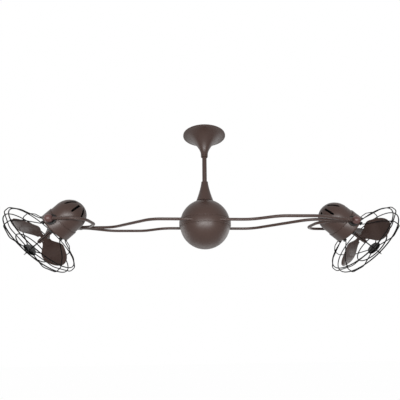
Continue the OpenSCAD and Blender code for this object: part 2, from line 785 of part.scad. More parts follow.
// ---------------------------------------------------------------- named pieces of each side
module right_collar() { at_head(1) difference() { collar(); guard_sockets(right_guard_turn); } }
module left_collar() { at_head(-1) difference() { collar(); guard_sockets(left_guard_turn); } }
module right_dome() { at_head(1) dome(); }
module left_dome() { at_head(-1) dome(); }
module right_front_plate() { at_head(1) front_plate(); }
module left_front_plate() { at_head(-1) front_plate(); }
module right_stator() { at_head(1) stator(); }
module left_stator() { at_head(-1) stator(); }
module right_windings() { at_head(1) windings(); }
module left_windings() { at_head(-1) windings(); }
module right_bearings() { at_head(1) motor_bearings(); }
module left_bearings() { at_head(-1) motor_bearings(); }
module right_pivot_studs() { at_head(1) pivot_studs(); }
module left_pivot_studs() { at_head(-1) pivot_studs(); }
module right_guard_loops() { at_head(1) loops(right_guard_turn); }
module left_guard_loops() { at_head(-1) loops(left_guard_turn); }
module right_guard_rings() { at_head(1) rings(); }
module left_guard_rings() { at_head(-1) rings(); }
module right_guard_disc() { at_head(1) disc(); }
module left_guard_disc() { at_head(-1) disc(); }
module right_guard_clips() { at_head(1) clips(right_guard_turn); }
module left_guard_clips() { at_head(-1) clips(left_guard_turn); }
module right_shaft() { at_head(1) motor_shaft(); }
module left_shaft() { at_head(-1) motor_shaft(); }
module right_rotor_core() { at_head(1) rotor_core(); }
module left_rotor_core() { at_head(-1) rotor_core(); }
module right_blade_hub() { at_head(1) blade_hub(right_fan_turn); }
module left_blade_hub() { at_head(-1) blade_hub(left_fan_turn); }
module right_hub_nut() { at_head(1) hub_nut(); }
module left_hub_nut() { at_head(-1) hub_nut(); }

ceiling_bracket();
hanger_block();
hanger_pin();
terminal_block();
canopy();
canopy_collar();
downrod();
cone_cover();
spindle();
spindle_nut();
slip_ring();
hub_bearings();
arm_hub();
brush_block();
globe_top();
globe_bottom();
globe_belt();
front_arm();
back_arm();
right_yoke();
left_yoke();
arm_sockets();
pivot_balls();
right_collar();
right_dome();
right_front_plate();
right_stator();
right_windings();
right_bearings();
right_pivot_studs();
right_guard_loops();
right_guard_rings();
right_guard_disc();
right_guard_clips();
right_shaft();
right_rotor_core();
right_blade_hub();
at_head(1) blade(right_fan_turn, 0);  // right_blade_1
at_head(1) blade(right_fan_turn, 1);  // right_blade_2
at_head(1) blade(right_fan_turn, 2);  // right_blade_3
right_hub_nut();
left_collar();
left_dome();
left_front_plate();
left_stator();
left_windings();
left_bearings();
left_pivot_studs();
left_guard_loops();
left_guard_rings();
left_guard_disc();
left_guard_clips();
left_shaft();
left_rotor_core();
left_blade_hub();
at_head(-1) blade(left_fan_turn, 0);  // left_blade_1
at_head(-1) blade(left_fan_turn, 1);  // left_blade_2
at_head(-1) blade(left_fan_turn, 2);  // left_blade_3
left_hub_nut();
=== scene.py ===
# %% [markdown]
# # A ceiling fan with two caged heads
#
# The fan hangs from the ceiling on a thin rod. A globe at the rod's end carries two bent arms, and a small
# caged fan hangs in a fork at each end of them. The whole of it has a satin, dark bronze coat.
#
# The imported CAD model gives every size and place. Each piece below is built round it, in metres, with the
# ceiling at height zero. First the frame is loaded.

# %% Load the frame
import json
import math

import bmesh
import bpy
from mathutils import Matrix, Vector


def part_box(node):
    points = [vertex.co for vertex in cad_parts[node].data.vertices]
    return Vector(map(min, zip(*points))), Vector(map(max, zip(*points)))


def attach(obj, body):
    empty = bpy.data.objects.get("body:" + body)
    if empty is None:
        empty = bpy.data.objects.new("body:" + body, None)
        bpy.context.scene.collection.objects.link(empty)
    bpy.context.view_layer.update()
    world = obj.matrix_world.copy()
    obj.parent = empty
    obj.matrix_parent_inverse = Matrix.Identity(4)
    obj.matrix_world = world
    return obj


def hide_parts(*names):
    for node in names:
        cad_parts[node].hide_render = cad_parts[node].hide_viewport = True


MM = 0.001
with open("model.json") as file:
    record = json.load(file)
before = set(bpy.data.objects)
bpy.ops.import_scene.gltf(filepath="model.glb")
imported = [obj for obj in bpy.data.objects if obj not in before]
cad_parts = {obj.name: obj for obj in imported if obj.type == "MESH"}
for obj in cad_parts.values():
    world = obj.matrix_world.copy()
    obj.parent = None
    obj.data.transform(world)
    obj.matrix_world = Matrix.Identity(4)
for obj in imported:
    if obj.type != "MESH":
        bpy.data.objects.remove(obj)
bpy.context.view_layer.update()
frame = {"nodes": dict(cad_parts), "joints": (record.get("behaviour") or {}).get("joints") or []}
nodes = frame["nodes"]

# %% [markdown]
# A head's pieces are easiest to draw in the head's own frame: +Z along the fan's axis and Y along the pivots.
# The record's joints hold both axes, so the matrix that carries a piece from there to the fan comes from
# them.
#
# The left side is the right side turned half round, but for two angles of its own: how far its head tilts
# down, and how far its head and yoke swing round from the line of the arms.

# %% The two heads' frames
joints = {joint["name"]: joint for joint in frame["joints"]}


def head_frame(side):
    """The matrix from a head's own frame to the whole fan's."""
    forward = Vector(joints[f"{side}_fan_spin"]["axis"]).normalized()
    pivots = Vector(joints[f"{side}_tilt"]["axis"]).normalized()
    turn = Matrix((pivots.cross(forward), pivots, forward)).transposed().to_4x4()
    return Matrix.Translation(joints[f"{side}_tilt"]["pos_m"]) @ turn


HEADS = {"right": head_frame("right"), "left": head_frame("left")}
SIDE_TURN = {"right": Matrix.Identity(4), "left": Matrix.Rotation(math.pi, 4, "Z")}
PIVOT_X, _, ARM_LEVEL = joints["right_tilt"]["pos_m"]
SWING = {}
for side, place in HEADS.items():
    across = SIDE_TURN[side] @ Vector(joints[f"{side}_tilt"]["axis"])
    SWING[side] = math.atan2(-across.x, across.y)
    faces = [round(v, 3) for v in place.col[2][:3]]
    print(f"{side}: faces {faces}, swung {math.degrees(SWING[side]):.1f} deg")

# %% [markdown]
# The photograph was taken from close by with a wide lens, which is why the two heads look so different in
# size from the globe. The camera stands a metre in front of the fan, a little below it, and looks up. Its
# place and angles were fitted until the globe, the canopy and both heads lay where the photograph has them.

# %% Camera
CAMERA_AT = Vector((-0.0637, -1.009, -0.5834))
LENS = 26.1
PAN, PITCH, ROLL = (math.radians(angle) for angle in (2.62, 17.49, -0.3))


def aimed(spot, toward):
    """The matrix of a camera or a lamp at spot that looks along toward."""
    return Matrix.Translation(spot) @ toward.to_track_quat("-Z", "Y").to_matrix().to_4x4()


camera = bpy.data.objects.new("camera", bpy.data.cameras.new("camera"))
camera.data.lens = LENS
camera.data.sensor_width = 36
camera.data.clip_start = 0.01
toward = Vector((math.sin(PAN) * math.cos(PITCH), math.cos(PAN) * math.cos(PITCH), math.sin(PITCH)))
camera.matrix_world = aimed(CAMERA_AT, toward) @ Matrix.Rotation(ROLL, 4, "Z")
bpy.context.scene.collection.objects.link(camera)
bpy.context.scene.camera = camera
print("camera looks along", [round(v, 3) for v in toward])

# %% [markdown]
# ## Finishes
#
# The coat is a powder coat over steel: a dark brown with faint clouds of lighter and redder brown, and a fine
# orange-peel grain that breaks up its highlights. A painted image could hold both, but it would need a layout
# for every piece. Noise on Object coordinates needs none: they are metres of the real fan, so the clouds and
# the grain have one size everywhere. Five small helpers build the nodes.

# %% Helpers for shader nodes
def node_group(name, inputs, outputs):
    """An empty shader group with the named (name, kind, default) sockets; returns it with its ends."""
    group = bpy.data.node_groups.new(name, "ShaderNodeTree")
    for label, kind, default in inputs:
        socket = group.interface.new_socket(name=label, in_out="INPUT", socket_type=f"NodeSocket{kind}")
        socket.default_value = default
    for label, kind in outputs:
        group.interface.new_socket(name=label, in_out="OUTPUT", socket_type=f"NodeSocket{kind}")
    return group, group.nodes.new("NodeGroupInput"), group.nodes.new("NodeGroupOutput")


def feed(tree, source, socket):
    """Links another socket to this one, or gives it a plain value."""
    if isinstance(source, bpy.types.NodeSocket):
        tree.links.new(source, socket)
    else:
        socket.default_value = source


def calculate(tree, operation, first, second):
    """The result of a Math node on two sockets or values."""
    node = tree.nodes.new("ShaderNodeMath")
    node.operation = operation
    feed(tree, first, node.inputs[0])
    feed(tree, second, node.inputs[1])
    return node.outputs[0]


def noise(tree, scale, detail, roughness=0.55):
    """Noise from 0 to 1 on Object coordinates."""
    place = tree.nodes.new("ShaderNodeTexCoord")
    texture = tree.nodes.new("ShaderNodeTexNoise")
    tree.links.new(place.outputs["Object"], texture.inputs["Vector"])
    for label, value in (("Scale", scale), ("Detail", detail), ("Roughness", roughness)):
        feed(tree, value, texture.inputs[label])
    return texture.outputs["Fac"]


def spread(tree, source, low, high, to_low, to_high):
    """Maps a value's range low..high to to_low..to_high."""
    node = tree.nodes.new("ShaderNodeMapRange")
    for label, value in zip(("From Min", "From Max", "To Min", "To Max"), (low, high, to_low, to_high)):
        node.inputs[label].default_value = value
    tree.links.new(source, node.inputs["Value"])
    return node.outputs["Result"]


# %% [markdown]
# Both effects serve several materials, so each is a node group with sockets of its own. The first one mixes
# the coat's colour with a worn colour in wide clouds, about 70 mm apart, and lets the roughness wander a
# little in finer ones: a coat with one flat roughness looks like plastic.

# %% The coat's clouds
# Noise keeps near its middle, so only that part of its range is spread out.
CLOUD_SCALE, CLOUD_RANGE = 14, (0.35, 0.75)
GLOSS_SCALE, GLOSS_RANGE = 160, (0.3, 0.7)
SATIN = (0.34, 0.44)

clouds, cloud_in, cloud_out = node_group(
    "coat_clouds",
    [("Base", "Color", (0.1, 0.1, 0.1, 1)), ("Worn", "Color", (0.2, 0.2, 0.2, 1)), ("Amount", "Float", 0.35)],
    [("Color", "Color"), ("Roughness", "Float")])
wide = spread(clouds, noise(clouds, CLOUD_SCALE, 5), *CLOUD_RANGE, 0, 1)
fine = spread(clouds, noise(clouds, GLOSS_SCALE, 3), *GLOSS_RANGE, *SATIN)
blend = clouds.nodes.new("ShaderNodeMix")
blend.data_type = "RGBA"
clouds.links.new(calculate(clouds, "MULTIPLY", wide, cloud_in.outputs["Amount"]), blend.inputs["Factor"])
# A Mix node keeps its two colours in its sockets 6 and 7, and their blend in its output 2.
clouds.links.new(cloud_in.outputs["Base"], blend.inputs[6])
clouds.links.new(cloud_in.outputs["Worn"], blend.inputs[7])
clouds.links.new(blend.outputs[2], cloud_out.inputs["Color"])
clouds.links.new(fine, cloud_out.inputs["Roughness"])
print("group:", clouds.name)

# %% [markdown]
# The second group is the grain that powder leaves as it melts. It is a height, for a Bump node: at a few
# thousandths of a millimetre it is far too fine to model.

# %% The coat's orange peel
GRAIN_DEPTH, GRAIN_SCALE = 0.004 * MM, 700

peel, peel_in, peel_out = node_group(
    "orange_peel", [("Depth", "Float", GRAIN_DEPTH), ("Scale", "Float", GRAIN_SCALE)], [("Height", "Float")])
grain = noise(peel, peel_in.outputs["Scale"], 2, 0.5)
peel.links.new(calculate(peel, "MULTIPLY", grain, peel_in.outputs["Depth"]), peel_out.inputs["Height"])
print("group:", peel.name)

# %% [markdown]
# A finish is one Principled shader with the two groups in front of it. The clouds feed its colour and
# roughness, and the grain feeds a Bump node. What is the same all over stays on the shader's own sockets.
#
# The colours are dark, because a coat looks lighter than it is where a lamp's reflection lies on it. The
# wires have hardly any gloss, as a highlight on so thin a wire would be a white line.

# %% Materials
def coat(name, base, worn, amount=0.35, metallic=0.0, grain_depth=GRAIN_DEPTH, grain_scale=GRAIN_SCALE,
         gloss=0.25):
    """A coated metal: clouded colour, uneven gloss and a fine grain."""
    material = bpy.data.materials.new(name)
    material.use_nodes = True
    tree = material.node_tree
    shader = tree.nodes["Principled BSDF"]
    shader.inputs["Metallic"].default_value = metallic
    shader.inputs["Specular IOR Level"].default_value = gloss
    cloud = tree.nodes.new("ShaderNodeGroup")
    cloud.node_tree = clouds
    cloud.inputs["Base"].default_value = (*base, 1)
    cloud.inputs["Worn"].default_value = (*worn, 1)
    cloud.inputs["Amount"].default_value = amount
    tree.links.new(cloud.outputs["Color"], shader.inputs["Base Color"])
    tree.links.new(cloud.outputs["Roughness"], shader.inputs["Roughness"])
    skin = tree.nodes.new("ShaderNodeGroup")
    skin.node_tree = peel
    skin.inputs["Depth"].default_value = grain_depth
    skin.inputs["Scale"].default_value = grain_scale
    bump = tree.nodes.new("ShaderNodeBump")
    bump.inputs["Distance"].default_value = 1.0
    tree.links.new(skin.outputs["Height"], bump.inputs["Height"])
    tree.links.new(bump.outputs["Normal"], shader.inputs["Normal"])
    return material


bronze = coat("bronze_coat", (0.038, 0.0205, 0.016), (0.053, 0.031, 0.025), gloss=0.32)
blade_bronze = coat("blade_coat", (0.043, 0.027, 0.023), (0.062, 0.041, 0.036), gloss=0.2)
wire_bronze = coat("wire_coat", (0.005, 0.004, 0.004), (0.012, 0.009, 0.008), gloss=0.05)
rubbed_copper = coat("rubbed_copper", (0.062, 0.026, 0.023), (0.12, 0.042, 0.038), amount=0.6, gloss=0.45)
zinc = coat("zinc_plate", (0.50, 0.50, 0.52), (0.62, 0.62, 0.62), metallic=1.0, grain_depth=0.005 * MM)
lamination = coat("lamination_steel", (0.26, 0.26, 0.27), (0.38, 0.36, 0.34), metallic=1.0)
enamel_wire = coat("enamelled_wire", (0.52, 0.20, 0.08), (0.66, 0.32, 0.14), metallic=0.9, grain_scale=1500)
black_moulding = coat("black_moulding", (0.012, 0.012, 0.012), (0.025, 0.023, 0.022), gloss=0.2)
# A near black that is painted shade: inside the domes, on their slot walls and on the sheet behind the slots.
liner_black = coat("liner_black", (0.0015, 0.0015, 0.0015), (0.003, 0.003, 0.003), gloss=0.0)
ivory_moulding = coat("ivory_moulding", (0.66, 0.60, 0.48), (0.72, 0.68, 0.58), gloss=0.5)
print(len(bpy.data.materials), "materials")

# %% [markdown]
# ## Helpers
#
# Every piece ends the same way: normals that point outwards, smooth faces with sharp creases, an object at
# the origin, a finish, a body to ride on and, where it replaces one, the CAD node that it stands for. Small
# bevels come first, because an edge that catches no light looks unreal.

# %% From a bmesh to a finished piece
SHARP = math.radians(40)


def soften(bm, width, angle=40, segments=2):
    """Bevels the creases sharper than an angle in degrees, as a press or the paint would round them."""
    creases = [e for e in bm.edges if len(e.link_faces) == 2 and e.calc_face_angle() > math.radians(angle)]
    bmesh.ops.bevel(bm, geom=creases, offset=width, offset_type="OFFSET", segments=segments, profile=0.5,
                    affect="EDGES", clamp_overlap=True, material=-1)


def finish_piece(name, bm, finish, body, *stands_for, slot, place=None):
    """Makes the bmesh a piece that rides on a body and stands for CAD nodes."""
    if place is not None:
        bmesh.ops.transform(bm, matrix=place, verts=bm.verts)
    bmesh.ops.recalc_face_normals(bm, faces=bm.faces)
    for face in bm.faces:
        face.smooth = True
    for edge in bm.edges:
        edge.smooth = len(edge.link_faces) == 2 and edge.calc_face_angle() < SHARP
    mesh = bpy.data.meshes.new(name)
    bm.to_mesh(mesh)
    bm.free()
    mesh.materials.append(finish)
    piece = bpy.data.objects.new(name, mesh)
    bpy.context.scene.collection.objects.link(piece)
    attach(piece, body)
    if stands_for:
        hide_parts(*stands_for)
    print(f"{name}: {len(mesh.polygons)} faces")
    return piece


# %% [markdown]
# Spun and turned parts, such as the canopy and the globe, are lathed: a closed profile in the XZ plane is
# spun round Z. A Screw modifier would do the same, but the operator leaves a mesh whose creases can be
# bevelled at once. What stands several times round an axis is drawn once, and the same operator copies it.

# %% Lathe and copies round an axis
TOUCHING = 0.001 * MM


def lathe(profile, steps=96):
    """Spins a closed profile of (radius, height) points once round Z."""
    bm = bmesh.new()
    chain = [bm.verts.new((r, 0, z)) for r, z in profile]
    edges = [bm.edges.new(pair) for pair in zip(chain, chain[1:] + chain[:1])]
    bmesh.ops.spin(bm, geom=chain + edges, cent=(0, 0, 0), axis=(0, 0, 1), angle=2 * math.pi, steps=steps,
                   use_merge=True)
    bmesh.ops.remove_doubles(bm, verts=bm.verts, dist=TOUCHING)
    return bm


def repeat_round(bm, count):
    """Copies all that is in the bmesh round Z, so that it is there count times."""
    bmesh.ops.spin(bm, geom=bm.verts[:] + bm.edges[:] + bm.faces[:], cent=(0, 0, 0), axis=(0, 0, 1),
                   angle=2 * math.pi * (count - 1) / count, steps=count - 1, use_duplicate=True)


# %% [markdown]
# The arms, yokes and wires are round bars, bent cold. A curve with a bevel could draw them, but its bends
# would only be near to arcs. So they are drawn as a bender makes them: a round end is pushed along each
# straight run, and spun round the centre of each bend.

# %% Bender
DEGREES_PER_STEP = 6
STRAIGHT = 1e-6
END_SLACK = 0.1 * MM


def picked(geom, kind):
    """The vertices or edges in what an operator gives back."""
    return [g for g in geom if isinstance(g, kind)]


def bent_bar(points, bends, radius, sides):
    """Bends a round bar through points, with a bend radius at each inner one."""
    bm = bmesh.new()
    points = [Vector(p) for p in points]
    runs = [b - a for a, b in zip(points, points[1:])]
    headings = [run.normalized() for run in runs]
    turns = [0] + [a.angle(b) for a, b in zip(headings, headings[1:])] + [0]
    # What a bend takes off the runs on both sides of its corner.
    trims = [bend * math.tan(turn / 2) for bend, turn in zip(bends, turns)]
    facing = headings[0].to_track_quat("Z", "Y").to_matrix().to_4x4()
    bmesh.ops.create_circle(bm, cap_ends=True, segments=sides, radius=radius,
                            matrix=Matrix.Translation(points[0]) @ facing)
    edges = bm.edges[:]
    for i, heading in enumerate(headings):
        grown = bmesh.ops.extrude_edge_only(bm, edges=edges)["geom"]
        ring = picked(grown, bmesh.types.BMVert)
        edges = [e for e in picked(grown, bmesh.types.BMEdge) if e.verts[0] in ring and e.verts[1] in ring]
        bmesh.ops.translate(bm, vec=heading * (runs[i].length - trims[i] - trims[i + 1]), verts=ring)
        if turns[i + 1] > STRAIGHT:
            ahead = headings[i + 1]
            inwards = (ahead - heading * heading.dot(ahead)).normalized()
            centre = points[i + 1] - heading * trims[i + 1] + inwards * bends[i + 1]
            steps = max(2, math.ceil(math.degrees(turns[i + 1]) / DEGREES_PER_STEP))
            grown = bmesh.ops.spin(bm, geom=ring + edges, cent=centre, axis=heading.cross(ahead).normalized(),
                                   angle=turns[i + 1], steps=steps, use_duplicate=False)["geom_last"]
            ring = picked(grown, bmesh.types.BMVert)
            edges = picked(grown, bmesh.types.BMEdge)
    bmesh.ops.contextual_create(bm, geom=edges)
    end = sum((v.co for v in ring), Vector()) / len(ring)
    assert (end - points[-1]).length < END_SLACK, f"the bar ends {end - points[-1]} off its last point"
    return bm


# %% [markdown]
# ## Ceiling end and downrod
#
# The canopy is spun from one disc of sheet steel, so it is a thin trumpet with an upright lip. Its side lies
# between a quarter circle and a straight cone. A superellipse gives that: the same sine and cosine as for a
# circle, raised to one power. The inside has a side of its own, from the rod to a wall's thickness off the
# rim.

# %% Canopy
CANOPY_R, CANOPY_DROP, NECK_R, NECK_H = 82 * MM, 86 * MM, 13.4 * MM, 6 * MM
LIP, WALL = 5 * MM, 1.5 * MM
ROD_R, ROD_GAP = 8.5 * MM, 0.2 * MM
FLARE_POWER = 2 / 1.54
FLARE_ROWS = 40


def flare(row, neck, rim, top):
    """A point of the trumpet's side, from its neck (row 0) to its lip (the last row)."""
    quarter = row / FLARE_ROWS * math.pi / 2
    bottom = NECK_H - CANOPY_DROP
    return (rim - (rim - neck) * math.cos(quarter) ** FLARE_POWER,
            bottom + (top - bottom) * math.sin(quarter) ** FLARE_POWER)


outside = [flare(row, NECK_R, CANOPY_R, -LIP) for row in range(FLARE_ROWS + 1)]
inside = [flare(row, ROD_R + ROD_GAP, CANOPY_R - WALL, WALL - LIP) for row in range(FLARE_ROWS, -1, -1)]
bm = lathe([(NECK_R, -CANOPY_DROP)] + outside + [(CANOPY_R, 0), (CANOPY_R - WALL, 0)] + inside
           + [(ROD_R + ROD_GAP, -CANOPY_DROP)], 128)
soften(bm, 0.5 * MM, 50)
finish_piece("canopy_shell", bm, bronze, "mount", "canopy", slot="bronze_paint")

# %% [markdown]
# A ring below the canopy's neck holds it up against the ceiling, and the downrod is plain pipe. A cylinder
# would do for either, but it has no bore. So both are lathed from the corners of a rectangle, and they take
# their heights from the CAD model.

# %% Neck ring and downrod
ROD_BORE_R = 5.5 * MM


def tube(inner, outer, bottom, top, steps=96):
    """A plain ring or pipe."""
    return lathe([(inner, bottom), (outer, bottom), (outer, top), (inner, top)], steps)


low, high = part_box("canopy_collar")
bm = tube(ROD_R, high[0], low[2], high[2])
soften(bm, 0.8 * MM, segments=3)
finish_piece("canopy_neck_ring", bm, bronze, "mount", "canopy_collar", slot="bronze_paint")

low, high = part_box("downrod")
bm = tube(ROD_BORE_R, ROD_R, low[2], high[2], 64)
soften(bm, 0.4 * MM)
finish_piece("downrod_pipe", bm, bronze, "mount", "downrod", slot="bronze_paint")

# %% [markdown]
# The cone cover hides the joint between the rod and the globe. Its side is not quite straight: it widens a
# little faster as it comes down, and it sits just clear of the globe, which turns below it. A power of the
# share of the way down gives that curve with one number.

# %% Cone cover
CONE_TOP_R, CONE_CURVE, CONE_ROWS = 12.3 * MM, 1.4, 24
low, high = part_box("cone_cover")


def cone(row, top_r, base_r):
    """A point of the cone's side, from its top (row 0) to its base (the last row)."""
    share = row / CONE_ROWS
    return top_r + (base_r - top_r) * share ** CONE_CURVE, high[2] + (low[2] - high[2]) * share


outside = [cone(row, CONE_TOP_R, high[0]) for row in range(CONE_ROWS + 1)]
inside = [cone(row, ROD_R + ROD_GAP, high[0] - WALL) for row in range(CONE_ROWS, -1, -1)]
bm = lathe(outside + inside)
soften(bm, 0.5 * MM, 50)
finish_piece("cone_shell", bm, bronze, "mount", "cone_cover", slot="bronze_paint")

# %% [markdown]
# ## Globe
#
# Two spun half shells meet at a raised belt. A sphere cut in two would make them, but it has no wall, so each
# is lathed from two arcs about the belt's middle. What the eye reads are the seams above and below the belt,
# and a fine groove that is rolled into the upper shell just above it. The groove is the profile's foot.

# %% Globe shells
GLOBE_R, SHELL, MOUTH_R = 89 * MM, 2 * MM, 24 * MM
GROOVE_BOTTOM, GROOVE_TOP, GROOVE_DEPTH = 2.2 * MM, 4.0 * MM, 1 * MM
BELT_LOW, BELT_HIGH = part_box("globe_belt")
BELT_HALF = (BELT_HIGH[2] - BELT_LOW[2]) / 2
BELT_MIDDLE = Matrix.Translation((0, 0, (BELT_HIGH[2] + BELT_LOW[2]) / 2))


def rise(height):
    """The angle above the globe's middle at which its skin has a height."""
    return math.asin(height / GLOBE_R)


def half_shell(start, stop, outer, inner, steps=36):
    """The profile of a spherical shell between two angles above the level."""
    angles = [start + (stop - start) * i / steps for i in range(steps + 1)]
    return ([(outer * math.cos(a), outer * math.sin(a)) for a in angles]
            + [(inner * math.cos(a), inner * math.sin(a)) for a in reversed(angles)])


# The groove's heights are above the belt's edge.
seam, groove, above = (rise(BELT_HALF + height) for height in (0, GROOVE_BOTTOM, GROOVE_TOP))
foot = [(GLOBE_R - SHELL, seam), (GLOBE_R, seam), (GLOBE_R, groove), (GLOBE_R - GROOVE_DEPTH, groove),
        (GLOBE_R - GROOVE_DEPTH, above)]
bm = lathe([(r * math.cos(a), r * math.sin(a)) for r, a in foot]
           + half_shell(above, math.acos(MOUTH_R / GLOBE_R), GLOBE_R, GLOBE_R - SHELL), 128)
soften(bm, 0.25 * MM, 50)
finish_piece("globe_upper_shell", bm, bronze, "rotor", "globe_top", slot="bronze_paint", place=BELT_MIDDLE)

# The lower shell stops a hair short of its pole, and the rings left there are then merged to one point each.
POLE_HAIR = 1e-4
bm = lathe(half_shell(-seam, POLE_HAIR - math.pi / 2, GLOBE_R, GLOBE_R - SHELL), 128)
bmesh.ops.remove_doubles(bm, verts=bm.verts, dist=2 * POLE_HAIR * GLOBE_R)
finish_piece("globe_lower_shell", bm, bronze, "rotor", "globe_bottom", slot="bronze_paint", place=BELT_MIDDLE)

# %% [markdown]
# The belt is a band of flat bar, rolled to a ring that clamps both shells. It stands proud of them, so it is
# a ring like the one on the rod. Its edges take four bevel segments, because they carry fine lines of light.

# %% Belt
bm = tube(GLOBE_R - SHELL, BELT_HIGH[0], -BELT_HALF, BELT_HALF, 128)
soften(bm, 1.2 * MM, segments=4)
finish_piece("globe_raised_belt", bm, bronze, "rotor", "globe_belt", slot="bronze_paint", place=BELT_MIDDLE)

# %% [markdown]
# ## Arms, yokes and pivots
#
# The two arms are one route bent twice, the back arm half a turn from the front one. Each leaves the globe
# straight. One end bows out round the near head's yoke, and the other crosses to the far side. At each head
# both arms and the yoke's end run side by side into a flat socket behind a pivot: the yoke in the first lane,
# the arm that crosses in the second, and the arm that bows in the third.

# %% Lanes at a socket
BAR_R, LANE_PITCH = 5 * MM, 10.5 * MM
LANES = [65 * MM + LANE_PITCH * n for n in range(3)]
BALL_R, BALL_FLAT, SOCKET = 14 * MM, 12 * MM, 26 * MM
SOCKET_OUT = PIVOT_X - BALL_FLAT
SOCKET_IN = SOCKET_OUT - SOCKET
ARMS_UP = Matrix.Translation((0, 0, ARM_LEVEL))
AT_YOKE = {side: SIDE_TURN[side] @ Matrix.Translation((PIVOT_X, 0, ARM_LEVEL))
           @ Matrix.Rotation(SWING[side], 4, "Z") @ Matrix.Translation((-PIVOT_X, 0, 0)) for side in HEADS}


def swung(x, y, side):
    """A point near a side's pivots, carried round by that side's swing."""
    at = Matrix.Rotation(SWING[side], 2) @ Vector((x - PIVOT_X, y))
    return Vector((at.x + PIVOT_X, at.y, 0))


print("lanes at", [round(lane / MM, 1) for lane in LANES], "mm")

# %% [markdown]
# A route is the list of corners where a bar's straight runs would meet, and a list of bend radii goes with
# it. The arm's first two corners lie beyond the globe. They are worked out as if on the near side, and the
# minus sign turns them half round.

# %% Arms
ARM_OFFSET, OUTER_BOW, BOW_LEAN = 75 * MM, 129 * MM, 3 * MM
CROSS_FROM, CROSS_RUN = ARM_OFFSET + 107 * MM, 160 * MM
BOW_FROM, BOW_FULL, BOW_END = 2 * ARM_OFFSET, 2 * ARM_OFFSET + 82 * MM, 147 * MM
SOCKET_LEAD = 20 * MM
ARM_BENDS = [bend * MM for bend in (0, 90, 90, 110, 90, 90, 40, 0)]


def arm_route(bow, cross):
    """An arm's corners, with the side that it bows round at +X."""
    return [-swung(SOCKET_IN, -LANES[1], cross), -swung(PIVOT_X - CROSS_RUN, -LANES[1], cross),
            Vector((-CROSS_FROM, -ARM_OFFSET, 0)), Vector((BOW_FROM, -ARM_OFFSET, 0)),
            Vector((BOW_FULL, BOW_LEAN - OUTER_BOW, 0)), Vector((PIVOT_X - BOW_END, -OUTER_BOW, 0)),
            swung(SOCKET_IN - SOCKET_LEAD, -LANES[2], bow), swung(SOCKET_IN, -LANES[2], bow)]


for name, bow, cross in (("front_arm", "right", "left"), ("back_arm", "left", "right")):
    bm = bent_bar(arm_route(bow, cross), ARM_BENDS, BAR_R, 24)
    finish_piece(f"{name}_bar", bm, bronze, "rotor", name, slot="bronze_paint",
                 place=SIDE_TURN[bow] @ ARMS_UP)

# %% [markdown]
# A yoke is the fork that a head tilts in. It is one bar too: back out of the socket towards the globe, round
# the head and on to the far pivot, where it ends. It is drawn along the arms and then swung with its head.

# %% Yokes
YOKE_IN = PIVOT_X - 113 * MM
YOKE_SLANT, YOKE_CORNER = 38 * MM, 20 * MM
YOKE_ROUTE = [(SOCKET_IN, -LANES[0], 0), (YOKE_IN + YOKE_SLANT, -LANES[0], 0), (YOKE_IN, -YOKE_CORNER, 0),
              (YOKE_IN, LANES[1], 0), (SOCKET_OUT, LANES[1], 0)]
YOKE_BENDS = [bend * MM for bend in (0, 35, 40, 45, 0)]

for side in HEADS:
    bm = bent_bar(YOKE_ROUTE, YOKE_BENDS, BAR_R, 24)
    finish_piece(f"{side}_yoke_bar", bm, bronze, "rotor", f"{side}_yoke", slot="bronze_paint",
                 place=AT_YOKE[side])

# %% [markdown]
# The sockets are flat steel, with the bars' ends inside and with their corners filed round. One outline
# serves both: it is a face, extruded to the plate's thickness, that tapers from the three bars to the pivot
# ball.

# %% Sockets
PLATE, PLATE_EDGE, PLATE_SHOULDER = 1 * MM, BAR_R + 0.3 * MM, 6 * MM
outline = [(SOCKET_IN, PLATE_EDGE - LANES[0]), (SOCKET_IN, -LANES[2] - PLATE_EDGE),
           (SOCKET_IN + PLATE_SHOULDER, -LANES[2] - PLATE_EDGE), (SOCKET_OUT, -LANES[1] - BALL_R / 2),
           (SOCKET_OUT, BALL_R / 2 - LANES[1]), (SOCKET_IN + PLATE_SHOULDER, PLATE_EDGE - LANES[0])]
bm = bmesh.new()
for side in HEADS:
    face = bm.faces.new([bm.verts.new((x, y, -BAR_R - PLATE)) for x, y in outline])
    grown = bmesh.ops.extrude_face_region(bm, geom=[face])["geom"]
    top = picked(grown, bmesh.types.BMVert)
    bmesh.ops.translate(bm, vec=(0, 0, 2 * (BAR_R + PLATE)), verts=top)
    bmesh.ops.transform(bm, matrix=AT_YOKE[side], verts=top + list(face.verts))
bmesh.ops.recalc_face_normals(bm, faces=bm.faces)
soften(bm, 2.0 * MM, 20, 4)
finish_piece("arm_end_sockets", bm, bronze, "rotor", "arm_sockets", slot="bronze_paint")

# %% [markdown]
# Each pivot ball is turned from solid, cut flat where a bar or socket meets it, and rubbed to a redder shine
# by hands. A sphere is cut by a plane and its opening filled. Each ball is made at the origin and then moved
# to its pivot, so the ball being cut is always the one that is still there.

# %% Pivot balls
bm = bmesh.new()
for side in HEADS:
    for way in (1, -1):
        ball = bmesh.ops.create_uvsphere(bm, u_segments=48, v_segments=24, radius=BALL_R,
                                         matrix=Matrix.Rotation(math.pi / 2, 4, "X"))["verts"]
        edges = [e for e in bm.edges if e.verts[0] in ball]
        faces = [f for f in bm.faces if f.verts[0] in ball]
        cut = bmesh.ops.bisect_plane(bm, geom=ball + edges + faces, plane_co=(-BALL_FLAT, 0, 0),
                                     plane_no=(-1, 0, 0), clear_outer=True)
        bmesh.ops.contextual_create(bm, geom=picked(cut["geom_cut"], bmesh.types.BMEdge))
        ball = [v for v in bm.verts if v.co.length < 2 * BALL_R]
        pivot = Matrix.Translation((PIVOT_X, way * LANES[1], 0))
        bmesh.ops.transform(bm, matrix=AT_YOKE[side] @ pivot, verts=ball)
finish_piece("pivot_ball_set", bm, rubbed_copper, "rotor", "pivot_balls", slot="copper_bronze")

